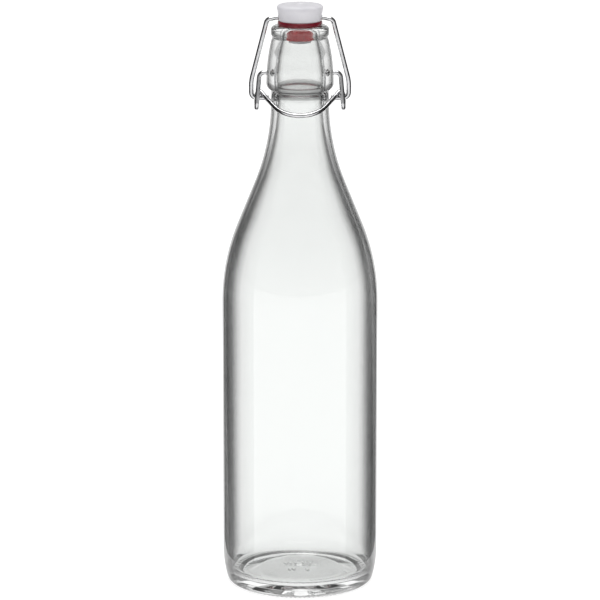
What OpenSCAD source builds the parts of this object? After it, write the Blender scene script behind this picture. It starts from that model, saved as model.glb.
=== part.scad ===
// Swing-top growler: a one-litre glass bottle closed by a wire-bail stopper.
// The bottle stands on z = 0 with its axis on Z, and the closing lever's handle faces -Y.
// The lever turns in two blind dimples in the glass. Its eyes carry the bail's inturned pins,
// and the bail's cross wire runs through the stopper's cap, which carries the rubber gasket.

/* [Bottle] */
// Diameter of the body
body_d = 84.2; // [83.6:0.1:85]
// Height where the straight body turns into the shoulder
shoulder_z = 156.3; // [154:0.1:158]
// Radius of the round shoulder
shoulder_r = 112.8; // [111:0.1:114]
// Radius of the hollow sweep from the shoulder into the neck
sweep_r = 115.5; // [114:0.1:117]
// Slope of the straight run between shoulder and sweep, from the vertical
shoulder_slope = 22.3; // [22:0.1:22.6]
// Diameter of the neck, below the finish
neck_d = 31; // [30.8:0.1:31.4]
// Thickness of the body's wall
wall = 2.7; // [2.4:0.1:3]
// Thickness of the glass under the contents
floor_t = 3.6; // [3:0.1:4.5]
// Height of the push-up under the middle of the base
push_up = 4; // [3:0.1:5]

/* [Finish] */
// Height of the widest line of the thick finish
bead_z = 275.7; // [275.2:0.1:276.2]
// Diameter of the finish at its widest line
bead_d = 36; // [35.6:0.1:36.2]
// Height of the lip's sealing face
lip_z = 306.5; // [306.4:0.1:306.8]
// Diameter of the lip
lip_d = 31; // [30.6:0.1:31.2]
// Diameter of the mouth
mouth_d = 18.8; // [18.6:0.1:19.2]
// Height of the lever's pivot dimples
pivot_z = 281.3; // [281:0.1:281.6]

/* [Stopper] */
// Diameter of the cap at its widest
cap_d = 24.6; // [24:0.1:25]
// Diameter of the cap's bottom face
cap_foot_d = 22.2; // [21.6:0.1:22.6]
// Height of the cap
cap_h = 9.1; // [8.8:0.1:9.6]
// Diameter of the button at the stem's tip
button_d = 12; // [11:0.1:12.4]

/* [Gasket] */
// Diameter of the flange
flange_d = 23.8; // [23:0.1:24.2]
// Thickness of the flange
flange_t = 2.4; // [2.2:0.1:2.6]
// Diameter of the plug at the lip
plug_d = 17.2; // [16.4:0.1:17.4]
// Diameter of the plug at its lower end
plug_tip_d = 13.2; // [12.6:0.1:13.6]
// Depth of the plug below the flange
plug_h = 7.2; // [6.8:0.1:7.6]

/* [Wires] */
// Diameter of the drawn wire of the bail and the lever
wire_d = 2.5; // [2.3:0.1:2.6]
// Distance of the bail's sides from the axis, where they are widest
bail_x = 26; // [25.9:0.1:26.4]
// Height of the bail's inturned pins
pin_z = 267.4; // [267.2:0.1:267.6]
// Distance of the pins behind the bottle's axis, which holds the closed lever past its dead centre
pin_y = 0.8; // [0.7:0.1:0.9]
// Distance of the eyes' lower ends from the axis
eye_x = 23.2; // [23.1:0.1:23.3]
// Height of the handle's front
handle_z = 261; // [260.8:0.1:261.4]
// Distance of the handle's front from the axis
handle_y = 17.3; // [17.2:0.1:17.5]

/* [Hidden] */
$fn = 96;

GLASS = [0.86, 0.89, 0.89, 0.45];
PLASTIC = [0.93, 0.92, 0.94];
RUBBER = [0.66, 0.10, 0.13];
STEEL = [0.72, 0.73, 0.74];

body_r = body_d / 2;
neck_r = neck_d / 2;
mouth_r = mouth_d / 2;
wire_r = wire_d / 2;

// Radial play of a wire in its hole
play = 0.05;
// How much thinner a bend's wire is than a straight's, and how far it runs on into the straights
bend_draw = 0.01;
bend_lap = 0.1;
// Air under the gasket's flange, which the rubber takes up as the lever passes its dead centre
seal_gap = 0.12;

// The foot of the body: a small corner, then a long curve that is tangent to the wall
ring_r = 36;
corner_r = 4.1;
foot_slope = 16;
foot_r = (body_r - ring_r - corner_r * cos(foot_slope)) / (1 - cos(foot_slope));
foot_z = corner_r * (1 - sin(foot_slope)) + foot_r * sin(foot_slope);

// The inside of the bottle
inner_r = body_r - wall;
neck_bore_r = 12;
barrel_bore_r = 12.6;
inner_corner_r = 6;
floor_z = push_up + floor_t;
floor_edge_z = 7;
// Depth of the mouth's straight bore, and of the two tapers that widen it into the barrel
mouth_depth = 7;
taper_depth = 9;
taper_r = 11.4;
barrel_depth = 25.5;

// The underside: radius, and height as a share of the push-up
UNDER = [[0, 1], [22, 0.8], [31, 0.475], [33.6, 0.15], [34.6, 0]];

// The finish: its round underside, its long curve up to the waist, and the lip
under_r = 4.2;
barrel_r = 98;
waist_r = 14.75;
lip_round = 2.3;
mouth_round = 1.2;
barrel_x = bead_d / 2 - barrel_r;
waist_a = acos((waist_r - barrel_x) / barrel_r);
waist_z = bead_z + barrel_r * sin(waist_a);
lip_x = lip_d / 2 - lip_round;
lip_a = acos((waist_r - lip_x) / lip_round);

// The pivot dimples
dimple_x = 14.7;
dimple_mouth_r = 2.6;
dimple_cone_x = 16.3;
dimple_cone_h = 2;

// The closure's own heights
flange_z = lip_z + seal_gap;
cap_z = flange_z + flange_t;
cross_floor = 0.5;
cross_z = cap_z + cross_floor + wire_r;
stem_r = 4.5;
button_t = 2.4;
// Radial slack of the gasket on the stem
slack = 0.03;
plug_tip_z = flange_z - plug_h;

// Points of an arc about c, from angle a0 to a1
function arc(c, r, a0, a1, n = 8) =
    [for (i = [0:n]) let (a = a0 + (a1 - a0) * i / n) c + r * [cos(a), sin(a)]];

// The height where the sweep, of radius r2, reaches the neck's radius rn
function sweep_top(rb, rn, r1, r2) =
    shoulder_z + (r1 + r2) * sin(shoulder_slope)
    + (rb - rn - (r1 + r2) * (1 - cos(shoulder_slope))) / tan(shoulder_slope);

// Shoulder and sweep from the body's radius rb up to the neck's radius rn
function shoulder(rb, rn, r1, r2) = concat(
    arc([rb - r1, shoulder_z], r1, 0, shoulder_slope, 10),
    arc([rn + r2, sweep_top(rb, rn, r1, r2)], r2, 180 + shoulder_slope, 180, 10));

function reversed(list) = [for (i = [len(list) - 1:-1:0]) list[i]];

// The glass's outer outline, from the standing ring up to the lip's sealing face
function glass_outside() = concat(
    arc([ring_r, corner_r], corner_r, -90, -foot_slope, 5),
    arc([body_r - foot_r, foot_z], foot_r, -foot_slope, 0, 5),
    shoulder(body_r, neck_r, shoulder_r, sweep_r),
    arc([bead_d / 2 - under_r, bead_z], under_r, -acos((neck_r - bead_d / 2 + under_r) / under_r), 0, 6),
    arc([barrel_x, bead_z], barrel_r, waist_a / 6, waist_a, 5),
    arc([lip_x, waist_z + lip_round * sin(lip_a)], lip_round, -lip_a, 0, 4),
    arc([lip_x, lip_z - lip_round], lip_round, 0, 90, 6));

// The glass's inner outline, from the mouth down to the middle of the floor
function glass_inside() = concat(
    arc([mouth_r + mouth_round, lip_z - mouth_round], mouth_round, 90, 180, 4),
    [[mouth_r, lip_z - mouth_depth],
     [taper_r, lip_z - mouth_depth - taper_depth],
     [barrel_bore_r, lip_z - barrel_depth],
     [barrel_bore_r, bead_z]],
    reversed(shoulder(inner_r, neck_bore_r, shoulder_r - wall, sweep_r + neck_r - neck_bore_r)),
    arc([inner_r - inner_corner_r, floor_edge_z + inner_corner_r], inner_corner_r, 0, -90, 6),
    [[0, floor_z]]);

// The underside, from the middle of the push-up out to the standing ring
function glass_under() = [for (p = UNDER) [p[0], p[1] * push_up]];

// The blind hole that one end of the lever turns in, and the cone that leads it in
module dimple() {
    translate([dimple_x, 0, pivot_z]) rotate([0, 90, 0]) cylinder(h = bead_d / 2, r = wire_r + play);
    translate([dimple_cone_x, 0, pivot_z]) rotate([0, 90, 0])
        cylinder(h = dimple_cone_h, r1 = wire_r + play, r2 = dimple_mouth_r);
}

module bottle() {
    color(GLASS)
    difference() {
        rotate_extrude() polygon(concat(glass_under(), glass_outside(), glass_inside()));
        dimple();
        mirror([1, 0, 0]) dimple();
    }
}

// The cap, its stem and the button that holds the gasket on, with the cross wire's hole
module stopper() {
    cap_r = cap_d / 2;
    foot_x = cap_foot_d / 2;
    // Rounding of the cap's top and bottom edges and of the button, and the rise of the top's dome
    edge_r = 1.5;
    foot_round = 0.4;
    button_round = 1.2;
    dome = 0.5;
    top_z = cap_z + cap_h;
    button_z = plug_tip_z - button_t;
    color(PLASTIC)
    difference() {
        rotate_extrude() polygon(concat(
            [[0, button_z]],
            arc([button_d / 2 - button_round, button_z + button_round], button_round, -90, 0, 5),
            [[button_d / 2, plug_tip_z], [stem_r, plug_tip_z], [stem_r, cap_z]],
            arc([foot_x - foot_round, cap_z + foot_round], foot_round, -90, -10, 3),
            arc([cap_r - edge_r, top_z - edge_r - dome], edge_r, -8, 80, 6),
            [[cap_r / 2, top_z - dome / 4], [0, top_z]]));
        translate([-cap_d, 0, cross_z]) rotate([0, 90, 0]) cylinder(h = 2 * cap_d, r = wire_r + play);
    }
}

// The flange, which seals on the lip, and the tapered plug below it
module gasket() {
    // Rounding of the flange's edges and of the plug's lower edge
    edge_r = 0.6;
    tip_r = 0.9;
    bore_r = stem_r + slack;
    color(RUBBER)
    rotate_extrude() polygon(concat(
        [[bore_r, plug_tip_z]],
        arc([plug_tip_d / 2 - tip_r, plug_tip_z + tip_r], tip_r, -90, -12, 4),
        [[plug_d / 2, flange_z]],
        arc([flange_d / 2 - edge_r, flange_z + edge_r], edge_r, -90, 0, 3),
        arc([flange_d / 2 - edge_r, cap_z - edge_r], edge_r, 0, 90, 3),
        [[bore_r, cap_z]]));
}

function unit(v) = v / norm(v);
function heading(path, i) = unit(path[i + 1] - path[i]);
function turn(path, i) = acos(heading(path, i - 1) * heading(path, i));
// How far before and after corner i its bend begins and ends
function setback(path, bends, i) =
    i == 0 || i == len(path) - 1 ? 0 : bends[i] * tan(turn(path, i) / 2);
function straight(path, bends, i) =
    norm(path[i + 1] - path[i]) - setback(path, bends, i) - setback(path, bends, i + 1);
// The side towards which the wire bends at corner i
function side(path, i) = let (a = heading(path, i - 1), b = heading(path, i)) unit(b - (b * a) * a);
// That same side, carried through the bend
function side_after(path, i) =
    side(path, i) * cos(turn(path, i)) - heading(path, i - 1) * sin(turn(path, i));
// How far the wire rolls about itself between the bends at corners i and i + 1
function roll(path, i) =
    let (a = side_after(path, i), b = side(path, i + 1))
    atan2(cross(a, b) * heading(path, i), a * b);

// One bend towards +X of a wire that runs along +Z. Bending draws the wire down a little, and
// the bend laps into the straights before and after it.
module bend(r, angle) {
    lap = bend_lap / r * 180 / PI;
    translate([r, 0, 0]) rotate([90, 0, 180]) rotate([0, 0, -lap])
        rotate_extrude(angle = angle + 2 * lap) translate([r, 0]) circle(wire_r - bend_draw);
}

// The wire from corner i of its path to its end, feed by feed and bend by bend
module feed(path, bends, i = 0) {
    run = straight(path, bends, i);
    cylinder(h = run, r = wire_r);
    if (i < len(path) - 2) {
        angle = turn(path, i + 1);
        r = bends[i + 1];
        translate([0, 0, run]) {
            bend(r, angle);
            translate([r, 0, 0]) rotate([0, angle, 0]) translate([-r, 0, 0])
                if (i + 1 < len(path) - 2) rotate([0, 0, roll(path, i + 1)]) feed(path, bends, i + 1);
                else feed(path, bends, i + 1);
        }
    }
}

// A wire formed along path with a bend radius at each corner, and its mirror image about x = 0
module formed_wire(path, bends) {
    z = heading(path, 0);
    x = side(path, 1);
    y = cross(z, x);
    p = path[0];
    place = [[x[0], y[0], z[0], p[0]], [x[1], y[1], z[1], p[1]], [x[2], y[2], z[2], p[2]], [0, 0, 0, 1]];
    multmatrix(place) feed(path, bends);
    mirror([1, 0, 0]) multmatrix(place) feed(path, bends);
}

// The bail: cross wire, drooping shoulders, splayed sides and inturned pins
module bail() {
    // Where the cross wire starts to droop, and the corner that it droops to
    cross_x = 12.6;
    corner_x = 17.5;
    droop = 1.1;
    // The knee, above which the sides lean in towards the cap
    knee_y = 0.2;
    knee_z = pin_z + 9.4;
    pin_tip_x = 16.5;
    path = [
        [0, 0, cross_z],
        [cross_x, 0, cross_z],
        [corner_x, 0, cross_z - droop],
        [bail_x, knee_y, knee_z],
        [bail_x, pin_y, pin_z],
        [pin_tip_x, pin_y, pin_z]];
    // Bend radii at those points
    bends = [0, 8, 2.6, 20, 3, 0];
    color(STEEL) formed_wire(path, bends);
}

// The lever: handle round the neck's front, eyes round the bail's pins, and ends in the dimples
module lever() {
    // Bend radius of the eye, and the distance from its middle to the middle of either leg
    eye_r = 2.7;
    eye_w = wire_d + 0.4;
    // The handle slopes up from its front to the top of the eye
    rise = 0.52;
    // The eye's legs lean forwards from the pivot to its lower end
    eye_drop = 5.4;
    eye_z = pin_z - eye_drop;
    lean = (eye_w - pin_y) / (pivot_z - pin_z);
    leg_y = lean * (pivot_z - eye_z);
    // Where the handle's line meets the line of the eye's back leg
    top_y = (2 * eye_w - leg_y + lean * (handle_z + rise * handle_y - eye_z)) / (1 - lean * rise);
    top_z = handle_z + rise * (handle_y + top_y);
    // Half the handle's straight front, the corner over the pivot, and the air at the dimple's end
    front_x = 9.07;
    pivot_x = 21.6;
    end_gap = 0.3;
    path = [
        [0, -handle_y, handle_z],
        [front_x, -handle_y, handle_z],
        [eye_x, top_y, top_z],
        [eye_x, 2 * eye_w - leg_y, eye_z],
        [eye_x, -leg_y, eye_z],
        [pivot_x, 0, pivot_z],
        [dimple_x + end_gap, 0, pivot_z]];
    // Bend radii at those points
    bends = [0, 15.5, eye_r, eye_r, eye_r, 3, 0];
    color(STEEL) formed_wire(path, bends);
}

bottle();
stopper();
gasket();
bail();
lever();
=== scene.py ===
import math

import bpy
import numpy as np
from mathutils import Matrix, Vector


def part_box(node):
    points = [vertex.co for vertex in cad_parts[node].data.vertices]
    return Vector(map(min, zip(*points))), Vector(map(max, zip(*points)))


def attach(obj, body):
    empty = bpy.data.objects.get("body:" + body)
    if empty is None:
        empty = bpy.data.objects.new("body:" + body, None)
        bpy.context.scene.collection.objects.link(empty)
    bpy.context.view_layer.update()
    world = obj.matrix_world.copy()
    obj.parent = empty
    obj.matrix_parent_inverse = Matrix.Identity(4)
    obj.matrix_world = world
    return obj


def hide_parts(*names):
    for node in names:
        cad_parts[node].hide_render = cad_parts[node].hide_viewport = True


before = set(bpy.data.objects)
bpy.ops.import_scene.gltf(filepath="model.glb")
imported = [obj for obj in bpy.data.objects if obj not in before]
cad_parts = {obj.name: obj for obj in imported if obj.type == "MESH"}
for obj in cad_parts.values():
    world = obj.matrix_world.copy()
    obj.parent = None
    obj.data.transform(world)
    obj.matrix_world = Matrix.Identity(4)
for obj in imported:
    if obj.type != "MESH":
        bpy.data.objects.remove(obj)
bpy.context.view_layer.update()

MM = 0.001


# ---------------------------------------------------------------- outlines

def arc(cx, cz, r, a0, a1, n):
    """n + 1 points of an arc about (cx, cz) from angle a0 to a1, in degrees."""
    angles = [math.radians(a0 + (a1 - a0) * i / n) for i in range(n + 1)]
    return [(cx + r * math.cos(a), cz + r * math.sin(a)) for a in angles]


def line(a, b, n):
    """n points from a towards b, without b."""
    return [(a[0] + (b[0] - a[0]) * i / n, a[1] + (b[1] - a[1]) * i / n) for i in range(n)]


def polyline(points, n):
    """The points with each stretch between them split in n."""
    out = []
    for a, b in zip(points[:-1], points[1:]):
        out += line(a, b, n)
    return out + [points[-1]]


# ---------------------------------------------------------------- meshes

def revolve(name, outline, segments, shift=None):
    """A closed solid of revolution from an outline in millimetres that starts and ends on the axis
    or closes on itself. shift(r, z, theta) returns the moved r and z arrays."""
    r = np.array([p[0] for p in outline], float)
    z = np.array([p[1] for p in outline], float)
    theta = np.linspace(0, 2 * math.pi, segments, endpoint=False)
    rr = np.repeat(r[:, None], segments, 1)
    zz = np.repeat(z[:, None], segments, 1)
    tt = np.repeat(theta[None, :], len(r), 0)
    if shift:
        rr, zz = shift(rr, zz, tt)
    verts, rows = [], []
    for i in range(len(r)):
        if r[i] < 1e-9:
            rows.append([len(verts)] * segments)
            verts.append((0, 0, zz[i, 0] * MM))
        else:
            rows.append(list(range(len(verts), len(verts) + segments)))
            x, y = rr[i] * np.cos(theta), rr[i] * np.sin(theta)
            verts += list(zip(x * MM, y * MM, zz[i] * MM))
    faces = []
    closed = r[0] > 1e-9
    count = len(r) if closed else len(r) - 1
    for i in range(count):
        a, b = rows[i], rows[(i + 1) % len(r)]
        for j in range(segments):
            k = (j + 1) % segments
            face = [a[j], a[k], b[k], b[j]]
            if a[j] == a[k]:
                face = [a[j], b[k], b[j]]
            elif b[j] == b[k]:
                face = [a[j], a[k], b[j]]
            faces.append(face)
    mesh = bpy.data.meshes.new(name)
    mesh.from_pydata(verts, [], faces)
    mesh.validate()
    mesh.polygons.foreach_set("use_smooth", [True] * len(mesh.polygons))
    obj = bpy.data.objects.new(name, mesh)
    bpy.context.scene.collection.objects.link(obj)
    return obj


def cut(obj, cutter):
    """Takes the cutter's volume out of obj, and deletes the cutter."""
    mod = obj.modifiers.new("cut", "BOOLEAN")
    mod.object = cutter
    mod.operation = "DIFFERENCE"
    mod.solver = "EXACT"
    depsgraph = bpy.context.evaluated_depsgraph_get()
    mesh = bpy.data.meshes.new_from_object(obj.evaluated_get(depsgraph))
    obj.modifiers.clear()
    obj.data = mesh
    bpy.data.objects.remove(cutter)


def bar_along_x(name, outline, z, side=1):
    """A solid of revolution about the line y = 0 at height z along X, from an outline of
    (radius, distance along X) in millimetres. side -1 mirrors it to -X."""
    obj = revolve(name, outline, 64)
    points = np.array([v.co for v in obj.data.vertices])
    turned = np.stack([side * points[:, 2], points[:, 1], z * MM - side * points[:, 0]], 1)
    obj.data.vertices.foreach_set("co", turned.astype(np.float32).ravel())
    return obj


# ---------------------------------------------------------------- the bottle

# Millimetres and degrees
BODY_R = 42.1
SHOULDER_Z, SHOULDER_R, SWEEP_R, SLOPE = 156.3, 112.8, 115.5, 22.3
NECK_R, NECK_BORE_R, WALL = 15.5, 12.0, 2.7
BEAD_Z, BEAD_R = 275.7, 18.0
LIP_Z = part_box("bottle")[1].z / MM
LIP_R, LIP_ROUND = 15.5, 2.3
MOUTH_R, MOUTH_ROUND, TAPER_R, BORE_R = 9.4, 1.2, 11.4, 12.6
# Depths below the lip where the mouth ends, the inside bends and the finish's bore begins
MOUTH_DEPTH, TAPER_DEPTH, BORE_DEPTH = 7, 16, 25.5
FLOOR_EDGE_Z, FLOOR_Z = 7.0, 7.6
PIVOT_Z = 281.3
# Radius of the holes that the wires turn in
HOLE_R = 1.3


def shoulder(low_r, high_r, round_r, sweep_r, n):
    """Shoulder arc, straight run and neck sweep, from radius low_r up to radius high_r."""
    s = math.radians(SLOPE)
    arcs_h = (round_r + sweep_r) * math.sin(s)
    straight_h = (low_r - high_r - (round_r + sweep_r) * (1 - math.cos(s))) / math.tan(s)
    top = SHOULDER_Z + arcs_h + straight_h
    low_arc = arc(low_r - round_r, SHOULDER_Z, round_r, 0, SLOPE, n)
    return low_arc + arc(high_r + sweep_r, top, sweep_r, 180 + SLOPE, 180, n)


def glass_outline():
    """The outline of the glass from the middle of the push-up round to the middle of the floor
    inside, and how many of its points lie on the outside."""
    ring_r, corner, slope = 36.0, 4.1, 16
    s = math.radians(slope)
    foot_r = (BODY_R - ring_r - corner * math.cos(s)) / (1 - math.cos(s))
    foot_z = corner * (1 - math.sin(s)) + foot_r * math.sin(s)
    push_up = [(0, 4.0), (22, 3.2), (31, 1.9), (33.6, 0.6), (34.6, 0.0), (ring_r, 0.0)]
    under = []
    for start, end, n in zip(push_up[:-1], push_up[1:], (34, 16, 6, 4, 3)):
        under += line(start, end, n)
    barrel_r, waist_r, under_r = 98.0, 14.75, 4.2
    barrel_x = BEAD_R - barrel_r
    waist_a = math.degrees(math.acos((waist_r - barrel_x) / barrel_r))
    waist_z = BEAD_Z + barrel_r * math.sin(math.radians(waist_a))
    lip_x = LIP_R - LIP_ROUND
    lip_a = math.degrees(math.acos((waist_r - lip_x) / LIP_ROUND))
    lip_low = waist_z + LIP_ROUND * math.sin(math.radians(lip_a))
    turn = math.degrees(math.acos((NECK_R - BEAD_R + under_r) / under_r))
    outside = (
        arc(ring_r, corner, corner, -90, -slope, 12)
        + arc(BODY_R - foot_r, foot_z, foot_r, -slope, 0, 8)
        + line((BODY_R, foot_z + 4), (BODY_R, SHOULDER_Z - 4), 12)
        + shoulder(BODY_R, NECK_R, SHOULDER_R, SWEEP_R, 20)
        + arc(BEAD_R - under_r, BEAD_Z, under_r, -turn, 0, 9)
        + arc(barrel_x, BEAD_Z, barrel_r, waist_a / 16, waist_a, 15)
        + arc(lip_x, lip_low, LIP_ROUND, -lip_a, 0, 6)
        + arc(lip_x, LIP_Z - LIP_ROUND, LIP_ROUND, 0, 90, 9)
    )
    inner_r, inner_corner, wall_low = BODY_R - WALL, 6.0, 17
    floor_edge_r = 33.0
    finish_bore = [
        (MOUTH_R, LIP_Z - MOUTH_DEPTH),
        (TAPER_R, LIP_Z - TAPER_DEPTH),
        (BORE_R, LIP_Z - BORE_DEPTH),
        (BORE_R, BEAD_Z),
    ]
    inside = (
        arc(MOUTH_R + MOUTH_ROUND, LIP_Z - MOUTH_ROUND, MOUTH_ROUND, 90, 180, 6)
        + polyline(finish_bore, 5)
        + shoulder(inner_r, NECK_BORE_R, SHOULDER_R - WALL, SWEEP_R + NECK_R - NECK_BORE_R, 20)[::-1]
        + line((inner_r, SHOULDER_Z - 4), (inner_r, wall_low), 12)
        + arc(inner_r - inner_corner, FLOOR_EDGE_Z + inner_corner, inner_corner, 0, -90, 10)
        + line((floor_edge_r, FLOOR_EDGE_Z), (0, FLOOR_Z), 16)
        + [(0, FLOOR_Z)]
    )
    return under + outside + inside, len(under) + len(outside)


def bump(x, half):
    """1 in the middle of a mark, 0 past its half width, with soft sides."""
    t = np.clip((half - np.abs(x)) / (0.45 * half), 0, 1)
    return t * t * (3 - 2 * t)


def mould_marks(r, theta):
    """Height from 0 to 1 of plain bars under the base: two rows across the middle, a run of them
    round one side and a short run round the other."""
    half_width, half_length, step = 0.75, 1.5, 5.4
    x, y = r * np.cos(theta), r * np.sin(theta)
    marks = np.zeros_like(r)
    for row_y, places in ((5.2, (-7.5, -5.0, -2.5, 2.0, 5.5)), (-4.6, (-5.5, -3.2, 4.0))):
        for place in places:
            bar = bump(x - place, half_width) * bump(y - row_y, half_length)
            marks = np.maximum(marks, bar)
    for first, count, radius in ((-76, 13, 26.5), (196, 4, 27.0)):
        for i in range(count):
            angle = math.radians(first + step * i)
            side = radius * ((theta - angle + math.pi) % (2 * math.pi) - math.pi)
            bar = bump(side, half_width) * bump(r - radius, half_length)
            marks = np.maximum(marks, bar)
    return marks


def glass_shift(first_inner):
    """The shift that makes the glass uneven: a knurled standing ring, bars under the base, two
    faint mould seams outside, and a wavy inside. Points from first_inner on lie inside."""
    knurls, knurl_h, knurl_r = 96, 0.55, 35.8
    mark_h, seam_h, seam_w = 0.8, 0.06, 0.35

    def shift(r, z, theta):
        r, z = r.copy(), z.copy()
        index = np.arange(len(r))[:, None] * np.ones_like(r)
        outer = index < first_inner
        low = outer & (z < 4.3) & (r < 39)
        knurl = 0.5 - 0.5 * np.cos(knurls * theta)
        on_ring = np.clip(1.4 - np.abs(r - knurl_r) / 2.4, 0, 1)
        z += np.where(low, knurl_h * knurl * on_ring, 0)
        z -= np.where(low & (r < 30), mark_h * mould_marks(r, theta), 0)
        wall = outer & (z > 8) & (z < 262) & (r > 15)
        off_seam = np.minimum(theta % math.pi, math.pi - theta % math.pi)
        seam = np.exp(-(off_seam * r / seam_w) ** 2)
        r -= np.where(wall, seam_h * (1 - seam), 0)
        inside = ~outer & (z < LIP_Z - 20)
        wave = (
            0.10 * np.sin(2 * theta + 0.7 + z / 61)
            + 0.06 * np.sin(3 * theta + 2.1 - z / 47)
            + 0.03 * np.sin(7 * theta + z / 33)
        )
        on_wall = inside & (z > 14)
        r += np.where(on_wall, wave * np.clip((r - 9) / 10, 0, 1), 0)
        on_floor = inside & (z <= 14)
        x, y = r * np.cos(theta), r * np.sin(theta)
        swell = np.sin(r / 6.3 + 0.6) * 0.16 + np.sin(x / 7.1 + 1) * np.sin(y / 5.9) * 0.22
        z += np.where(on_floor & (r < 34), swell * np.clip(r / 4, 0, 1), 0)
        return r, z
    return shift


def bottle():
    """The glass, with a blind dimple and its conical lead-in on each side for the lever's ends."""
    outline, first_inner = glass_outline()
    obj = revolve("bottle_glass", outline, 384, glass_shift(first_inner))
    bottom_x, cone_x, wide_x, past_x, wide_r = 14.7, 16.3, 18.3, 22, 2.6
    dimple = [(0, bottom_x), (HOLE_R, bottom_x), (HOLE_R, cone_x), (wide_r, wide_x), (wide_r, past_x)]
    for side in (-1, 1):
        cut(obj, bar_along_x("cutter", dimple + [(0, past_x)], PIVOT_Z, side))
    return obj


# ---------------------------------------------------------------- the stopper and its gasket

FLANGE_T, PLUG_H = 2.4, 7.2
CROSS_WALL, WIRE_R = 0.5, 1.25
FLANGE_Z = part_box("gasket")[1].z / MM - FLANGE_T
CAP_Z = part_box("gasket")[1].z / MM
TOP_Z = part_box("stopper")[1].z / MM
PLUG_TIP_Z = FLANGE_Z - PLUG_H
CROSS_Z = CAP_Z + CROSS_WALL + WIRE_R
STEM_R = 4.5


def stopper():
    """The cap with its stem and button: a slightly domed top with a moulding gate's dimple, and a
    fine parting line round the widest part."""
    cap_r, foot_r, edge, dome = 12.3, 11.1, 1.5, 0.5
    button_r, button_h, button_edge, hole_end = 6.0, 2.4, 1.2, 30
    button_z = PLUG_TIP_Z - button_h
    wide_z = TOP_Z - edge - dome
    side = arc(cap_r - edge, wide_z, edge, -8, 80, 14)
    outline = (
        [(0, button_z + 0.5), (0.9, button_z + 0.5), (1.2, button_z + 0.1), (1.5, button_z)]
        + arc(button_r - button_edge, button_z + button_edge, button_edge, -90, 0, 8)
        + arc(button_r - 0.3, PLUG_TIP_Z - 0.3, 0.3, 0, 90, 4)
        + polyline([(STEM_R, PLUG_TIP_Z), (STEM_R, CAP_Z)], 3)
        + arc(foot_r - 0.4, CAP_Z + 0.4, 0.4, -90, -10, 6)
        + line((foot_r + 0.02, CAP_Z + 0.6), side[0], 10)[1:]
        + [(side[0][0], side[0][1] - 0.12), (side[0][0] - 0.07, side[0][1] - 0.06)]
        + side
        + [(r, TOP_Z - dome * (r / cap_r) ** 2) for r in (9.6, 8.4, 7.0, 5.5, 4.0, 2.8, 2.0)]
        + [(1.7, TOP_Z - 0.04), (1.45, TOP_Z - 0.22), (1.1, TOP_Z - 0.3), (0, TOP_Z - 0.3)]
    )
    obj = revolve("stopper_cap", outline, 160)
    hole = [(0, -hole_end), (HOLE_R, -hole_end), (HOLE_R, hole_end), (0, hole_end)]
    cut(obj, bar_along_x("cutter", hole, CROSS_Z))
    return obj


def gasket():
    """The flange with the flash line of its mould, and the tapered plug with a shallow rib."""
    flange_r, edge, plug_r, tip_r, tip_edge = 11.9, 0.6, 8.6, 6.6, 0.9
    hole_r = STEM_R + 0.03
    middle = (FLANGE_Z + CAP_Z) / 2
    outline = (
        [(hole_r, PLUG_TIP_Z)]
        + arc(tip_r - tip_edge, PLUG_TIP_Z + tip_edge, tip_edge, -90, -12, 8)
        + line((tip_r + 0.1, PLUG_TIP_Z + 1.3), (plug_r - 0.45, FLANGE_Z - 1.5), 6)
        + [(plug_r - 0.55, FLANGE_Z - 1.3), (plug_r - 0.3, FLANGE_Z - 1.0), (plug_r, FLANGE_Z - 0.6)]
        + [(plug_r, FLANGE_Z - 0.25), (plug_r + 0.02, FLANGE_Z + 0.02), (plug_r + 0.3, FLANGE_Z + 0.05)]
        + arc(flange_r - edge - 0.05, FLANGE_Z + edge, edge, -90, 0, 7)
        + [(flange_r - 0.05, middle - 0.12), (flange_r, middle - 0.04), (flange_r, middle + 0.04)]
        + [(flange_r - 0.05, middle + 0.12)]
        + arc(flange_r - edge - 0.05, CAP_Z - edge, edge, 0, 90, 7)
        + [(hole_r, CAP_Z)]
    )
    return revolve("gasket_ring", outline, 160)


# ---------------------------------------------------------------- materials

def material(name):
    """A new material, its node tree and its Principled shader."""
    mat = bpy.data.materials.new(name)
    mat.use_nodes = True
    return mat, mat.node_tree, mat.node_tree.nodes["Principled BSDF"]


def noise(tree, scale, detail=3.0, stretch=(1, 1, 1)):
    """A noise texture in the piece's own coordinates, with scale in cells per metre."""
    place = tree.nodes.new("ShaderNodeTexCoord")
    sized = tree.nodes.new("ShaderNodeMapping")
    sized.inputs["Scale"].default_value = stretch
    node = tree.nodes.new("ShaderNodeTexNoise")
    node.inputs["Scale"].default_value = scale
    node.inputs["Detail"].default_value = detail
    tree.links.new(place.outputs["Object"], sized.inputs["Vector"])
    tree.links.new(sized.outputs[0], node.inputs["Vector"])
    return node.outputs["Fac"]


def vary(tree, value, low, high, socket):
    """Drives a socket from low to high by a texture's value."""
    node = tree.nodes.new("ShaderNodeMapRange")
    node.inputs["From Min"].default_value = 0.3
    node.inputs["From Max"].default_value = 0.7
    node.inputs["To Min"].default_value = low
    node.inputs["To Max"].default_value = high
    tree.links.new(value, node.inputs["Value"])
    tree.links.new(node.outputs[0], socket)


def tint(tree, value, dark, light, socket):
    """Drives a colour socket from dark to light by a texture's value."""
    node = tree.nodes.new("ShaderNodeValToRGB")
    node.color_ramp.elements[0].position = 0.35
    node.color_ramp.elements[1].position = 0.65
    node.color_ramp.elements[0].color = (*dark, 1)
    node.color_ramp.elements[1].color = (*light, 1)
    tree.links.new(value, node.inputs[0])
    tree.links.new(node.outputs[0], socket)


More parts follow.
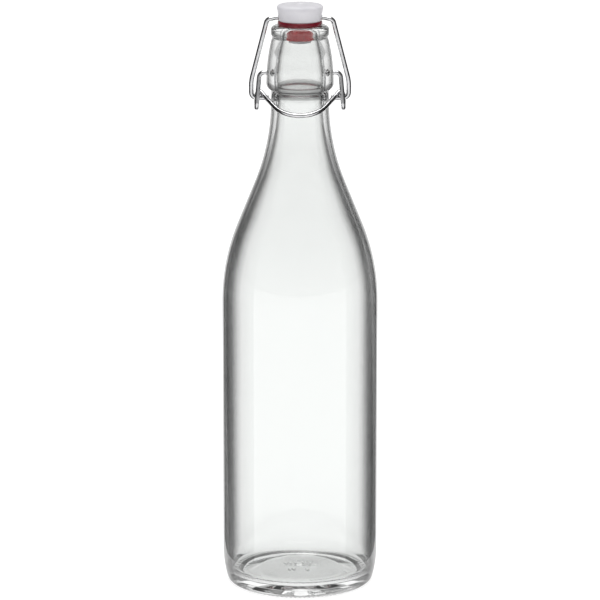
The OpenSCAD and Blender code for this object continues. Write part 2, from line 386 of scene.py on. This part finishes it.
def relief(tree, value, strength, height, shader):
    """Bump from a texture's value, height metres deep."""
    node = tree.nodes.new("ShaderNodeBump")
    node.inputs["Strength"].default_value = strength
    node.inputs["Distance"].default_value = height
    tree.links.new(value, node.inputs["Height"])
    tree.links.new(node.outputs[0], shader.inputs["Normal"])


def glass_material():
    """Flint glass with a slight ripple. Where an upright wall turns away from the view it gets a
    dark tint, which is painted shade for the dark edges of the glass. The tint's tones are matched to the
    photo, and are no property of glass."""
    mat, tree, shader = material("flint_glass")
    shader.inputs["Roughness"].default_value = 0.0
    shader.inputs["IOR"].default_value = 1.52
    shader.inputs["Transmission Weight"].default_value = 1.0
    # painted shade: facing on upright walls drives the ramp below from clear to near black at the glass's
    # silhouette
    edge = tree.nodes.new("ShaderNodeLayerWeight")
    edge.inputs["Blend"].default_value = 0.5
    place = tree.nodes.new("ShaderNodeTexCoord")
    split = tree.nodes.new("ShaderNodeSeparateXYZ")
    tree.links.new(place.outputs["Normal"], split.inputs[0])
    level = tree.nodes.new("ShaderNodeMath")
    level.operation = "ABSOLUTE"
    tree.links.new(split.outputs["Z"], level.inputs[0])
    upright = tree.nodes.new("ShaderNodeMapRange")
    upright.inputs["From Min"].default_value = 0.5
    upright.inputs["From Max"].default_value = 0.85
    upright.inputs["To Min"].default_value = 1.0
    upright.inputs["To Max"].default_value = 0.0
    tree.links.new(level.outputs[0], upright.inputs["Value"])
    painted_edge_shade = tree.nodes.new("ShaderNodeMath")
    painted_edge_shade.operation = "MULTIPLY"
    tree.links.new(edge.outputs["Facing"], painted_edge_shade.inputs[0])
    tree.links.new(upright.outputs[0], painted_edge_shade.inputs[1])
    ramp = tree.nodes.new("ShaderNodeValToRGB")
    ramp.color_ramp.elements[0].position = 0.25
    ramp.color_ramp.elements[0].color = (0.87, 0.88, 0.873, 1)
    ramp.color_ramp.elements[1].position = 0.9
    ramp.color_ramp.elements[1].color = (0.01, 0.01, 0.01, 1)
    for position, value in ((0.42, 0.76), (0.53, 0.32), (0.64, 0.05)):
        stop = ramp.color_ramp.elements.new(position)
        stop.color = (value, value, value, 1)
    tree.links.new(painted_edge_shade.outputs[0], ramp.inputs[0])
    tree.links.new(ramp.outputs[0], shader.inputs["Base Color"])
    relief(tree, noise(tree, 90, 2, (1, 1, 0.35)), 0.2, 0.00004, shader)
    return mat


def plastic_material():
    """White moulded plastic: an eggshell sheen, fine grain and barely uneven colour."""
    mat, tree, shader = material("cap_plastic")
    tint(tree, noise(tree, 160), (0.74, 0.73, 0.77), (0.79, 0.78, 0.815), shader.inputs["Base Color"])
    vary(tree, noise(tree, 420), 0.36, 0.5, shader.inputs["Roughness"])
    relief(tree, noise(tree, 5200, 2), 0.18, 0.00003, shader)
    shader.inputs["IOR"].default_value = 1.5
    shader.inputs["Subsurface Weight"].default_value = 0.15
    shader.inputs["Subsurface Radius"].default_value = (1, 1, 1)
    shader.inputs["Subsurface Scale"].default_value = 0.0012
    return mat


def rubber_material():
    """Satin red rubber as a lit and a shaded copy: the plug painted brighter, the flange painted darker as
    in the cap's shade.
    """
    mat, tree, shader = material("gasket_rubber")
    place = tree.nodes.new("ShaderNodeTexCoord")
    split = tree.nodes.new("ShaderNodeSeparateXYZ")
    tree.links.new(place.outputs["Object"], split.inputs[0])
    # painted light and shade: one rubber split by height into a lit plug and a shaded flange
    height = tree.nodes.new("ShaderNodeMapRange")
    height.inputs["From Min"].default_value = (FLANGE_Z - 0.8) * MM
    height.inputs["From Max"].default_value = (FLANGE_Z + 0.4) * MM
    tree.links.new(split.outputs["Z"], height.inputs["Value"])
    painted_shade_and_light_mix = tree.nodes.new("ShaderNodeMix")
    painted_shade_and_light_mix.data_type = "RGBA"
    tree.links.new(height.outputs[0], painted_shade_and_light_mix.inputs[0])
    patches = noise(tree, 240)
    # painted highlight: the plug's bright red; painted shade: the flange's dark red on the next line
    tint(tree, patches, (0.58, 0.010, 0.016), (0.74, 0.018, 0.026), painted_shade_and_light_mix.inputs[6])
    tint(tree, patches, (0.15, 0.002, 0.012), (0.22, 0.005, 0.018), painted_shade_and_light_mix.inputs[7])
    tree.links.new(painted_shade_and_light_mix.outputs[2], shader.inputs["Base Color"])
    vary(tree, noise(tree, 700), 0.24, 0.4, shader.inputs["Roughness"])
    relief(tree, noise(tree, 4200, 3), 0.15, 0.00003, shader)
    return mat


def steel_material():
    """Bright drawn wire: fine die lines along it and slightly uneven polish."""
    mat, tree, shader = material("wire_steel")
    tint(tree, noise(tree, 500), (0.54, 0.54, 0.55), (0.68, 0.68, 0.69), shader.inputs["Base Color"])
    shader.inputs["Metallic"].default_value = 1.0
    vary(tree, noise(tree, 900), 0.07, 0.17, shader.inputs["Roughness"])
    relief(tree, noise(tree, 2600, 4, (1, 1, 0.12)), 0.22, 0.00004, shader)
    return mat


for build, node, slot, body, finish in (
    (bottle, "bottle", "glass", "bottle", glass_material),
    (stopper, "stopper", "cap_plastic", "stopper", plastic_material),
    (gasket, "gasket", "gasket_rubber", "stopper", rubber_material),
):
    piece = build()
    piece.data.materials.clear()
    piece.data.materials.append(finish())
    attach(piece, body)
    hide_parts(node)

steel = steel_material()
for node in ("bail", "lever"):
    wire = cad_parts[node].data.materials
    wire.clear()
    wire.append(steel)


# ---------------------------------------------------------------- camera, floor and light

scene = bpy.context.scene
scene.view_settings.view_transform = "Standard"
scene.cycles.max_bounces = 24
scene.cycles.transmission_bounces = 24
scene.cycles.glossy_bounces = 12
scene.cycles.transparent_max_bounces = 24


def camera():
    data = bpy.data.cameras.new("camera")
    data.sensor_width = 36
    data.lens = 216.68
    cam = bpy.data.objects.new("camera", data)
    cam.location = (0, -1.9, 0.6)
    cam.rotation_euler = (math.radians(90 - 13.13), 0, 0)
    scene.collection.objects.link(cam)
    scene.camera = cam


def plane(name, points, mat):
    """A four-cornered piece of the stage."""
    mesh = bpy.data.meshes.new(name)
    mesh.from_pydata(points, [], [(0, 1, 2, 3)])
    mesh.materials.append(mat)
    obj = bpy.data.objects.new(name, mesh)
    scene.collection.objects.link(obj)
    return obj


def floor():
    """A plain white floor that glows, as a light table does."""
    half = 9
    mat, _, shader = material("pale_floor")
    shader.inputs["Base Color"].default_value = (0.4, 0.4, 0.4, 1)
    shader.inputs["Emission Color"].default_value = (1, 1, 1, 1)
    shader.inputs["Emission Strength"].default_value = 0.9
    shader.inputs["Roughness"].default_value = 1.0
    shader.inputs["Specular IOR Level"].default_value = 0.0
    plane("floor", [(-half, -half, 0), (half, -half, 0), (half, half, 0), (-half, half, 0)], mat)


def flags():
    """Two black cards beside the bottle, which only reflections show: they draw dark lines down
    the bright wires and the glass."""
    front, back, low, high = -0.05, 0.07, 0.001, 0.335
    mat, _, shader = material("black_card")
    shader.inputs["Base Color"].default_value = (0.02, 0.02, 0.02, 1)
    for name, x in (("card_left", -0.075), ("card_right", 0.075)):
        card = plane(name, [(x, front, low), (x, back, low), (x, back, high), (x, front, high)], mat)
        card.visible_camera = card.visible_diffuse = card.visible_shadow = card.visible_transmission = False


def area(name, place, target, size, power):
    """A rectangular soft light at place, turned to the target."""
    data = bpy.data.lights.new(name, "AREA")
    data.shape = "RECTANGLE"
    data.size, data.size_y = size
    data.energy = power
    obj = bpy.data.objects.new(name, data)
    obj.location = place
    obj.rotation_euler = (Vector(target) - Vector(place)).to_track_quat("-Z", "Y").to_euler()
    scene.collection.objects.link(obj)


def studio():
    """A grey surround, lighter from the horizon down than overhead."""
    world = bpy.data.worlds.new("studio")
    scene.world = world
    world.use_nodes = True
    tree = world.node_tree
    place = tree.nodes.new("ShaderNodeTexCoord")
    split = tree.nodes.new("ShaderNodeSeparateXYZ")
    tree.links.new(place.outputs["Generated"], split.inputs[0])
    ramp = tree.nodes.new("ShaderNodeValToRGB")
    for stop, (position, value) in zip(ramp.color_ramp.elements, ((0.02, 0.6), (0.45, 0.1))):
        stop.position = position
        stop.color = (value, value, value, 1)
    tree.links.new(split.outputs["Z"], ramp.inputs[0])
    tree.links.new(ramp.outputs[0], tree.nodes["Background"].inputs["Color"])


camera()
floor()
flags()
area("top", (0, 0.3, 2.6), (0, 0.3, 0), (1.8, 2.6), 52)
area("front", (0, -1.7, 2.7), (0, 0, 0.3), (2.4, 0.8), 17)
studio()
